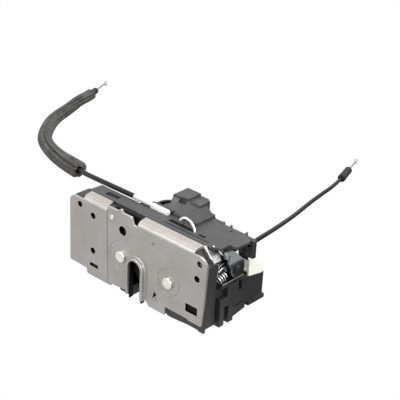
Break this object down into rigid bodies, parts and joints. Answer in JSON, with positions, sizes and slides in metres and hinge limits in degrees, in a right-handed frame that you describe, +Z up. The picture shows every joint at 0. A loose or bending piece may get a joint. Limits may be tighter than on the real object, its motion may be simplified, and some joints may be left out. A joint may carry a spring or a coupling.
{
  "type": "tailgate lock",
  "caption": "Tailgate lock with a slotted steel front plate, rotary claw and pawl, plastic actuator casing, connector and two release cables.",
  "frame": {"origin": "on the front plate's outer face, just inside the top of the striker slot and a little left of its centre line", "axes": "+X along the front plate, +Y from the plate into the lock, +Z up, away from the slot's open end"},
  "size_m": [0.405, 0.3299, 0.077],
  "materials": {
    "plate_steel": "satin zinc-coated sheet",
    "hard_steel": "blanked and tumbled",
    "rivet_steel": "bright upset heads",
    "spring_steel": "drawn wire",
    "zinc": "bright zinc plating",
    "wire_steel": "stranded wire",
    "motor_can": "drawn can",
    "black_plastic": "moulded, fine grain",
    "gear_plastic": "moulded acetal",
    "white_plastic": "moulded acetal",
    "clear_plastic": "translucent sleeve",
    "grey_plastic": "moulded",
    "ivory_plastic": "moulded",
    "rubber": "matt",
    "cable_black": "smooth extruded sheath",
    "foam": "soft foam wrap",
    "board": "lacquered",
    "brass": "tinned and bare"
  },
  "bodies": {
    "housing": {"face_plate": "plate_steel", "latch_housing": "black_plastic", "back_plate": "plate_steel", "striker_buffer": "rubber", "claw_pin": "rivet_steel", "pawl_pin": "rivet_steel", "cover_rivet": "rivet_steel", "claw_spring": "spring_steel", "pawl_spring": "spring_steel", "actuator_housing": "black_plastic", "top_cover": "black_plastic", "motor": "motor_can", "gear_axle": "rivet_steel", "circuit_board": "board", "lock_switch": "black_plastic", "lever_rivet": "rivet_steel", "lever_spring": "spring_steel", "zinc_bracket": "zinc", "ivory_plug": "ivory_plastic", "connector_pins": "brass", "cable1_anchor": "white_plastic", "cable1_ferrule": "clear_plastic", "cable1_sheath": "cable_black", "foam_sleeve": "foam", "cable1_cap": "black_plastic", "cable2_gland": "grey_plastic", "cable2_sheath": "cable_black", "cable2_cap": "black_plastic", "housing_screws": "rivet_steel"},
    "claw": {"claw": "hard_steel", "claw_cover": "black_plastic"},
    "pawl": {"pawl": "hard_steel", "pawl_cover": "black_plastic"},
    "gear": {"drive_gear": "gear_plastic"},
    "pinion": {"motor_pinion": "brass"},
    "slider": {"release_slider": "black_plastic", "release_loop": "white_plastic"},
    "lever": {"outer_lever": "zinc"},
    "cable1_core": {"cable1_wire": "wire_steel", "cable1_nipple": "white_plastic"},
    "cable2_core": {"cable2_wire": "wire_steel", "cable2_nipple": "white_plastic"}
  },
  "joints": [
    {"name": "claw_turn", "type": "hinge", "parent": "housing", "child": "claw", "pos_m": [-0.0132, 0.0065, -0.0001], "axis": [0, -1, 0], "range_deg": [0, 48]},
    {"name": "pawl_turn", "type": "hinge", "parent": "housing", "child": "pawl", "pos_m": [0.0349, 0.0065, -0.0016], "axis": [0, -1, 0], "range_deg": [-1.5, 7]},
    {"name": "gear_turn", "type": "hinge", "parent": "housing", "child": "gear", "pos_m": [0.027, 0.0326, 0.0028], "axis": [1, 0, 0], "range_deg": [0, 150]},
    {"name": "pinion_spin", "type": "hinge", "parent": "housing", "child": "pinion", "pos_m": [0.027, 0.0326, -0.014], "axis": [1, 0, 0], "range_deg": [-450, 0]},
    {"name": "slider_move", "type": "slide", "parent": "housing", "child": "slider", "axis": [-1, 0, 0], "range_m": [0, 0.008]},
    {"name": "lever_turn", "type": "hinge", "parent": "housing", "child": "lever", "pos_m": [0.0667, 0.0372, 0.0096], "axis": [-1, 0, 0], "range_deg": [0, 22]},
    {"name": "cable1_pull", "type": "slide", "parent": "housing", "child": "cable1_core", "axis": [-0.3616, 0.9323, 0], "range_m": [0, 0.008]},
    {"name": "cable2_pull", "type": "slide", "parent": "housing", "child": "cable2_core", "axis": [-0.2974, 0.9548, 0], "range_m": [0, 0.008]}
  ],
  "couplings": [
    {"joint": "pinion_spin", "follows": "gear_turn", "ratio": -3},
    {"joint": "cable1_pull", "follows": "slider_move", "ratio": 1},
    {"joint": "cable2_pull", "follows": "lever_turn", "m_per_rad": 0.020835}
  ]
}
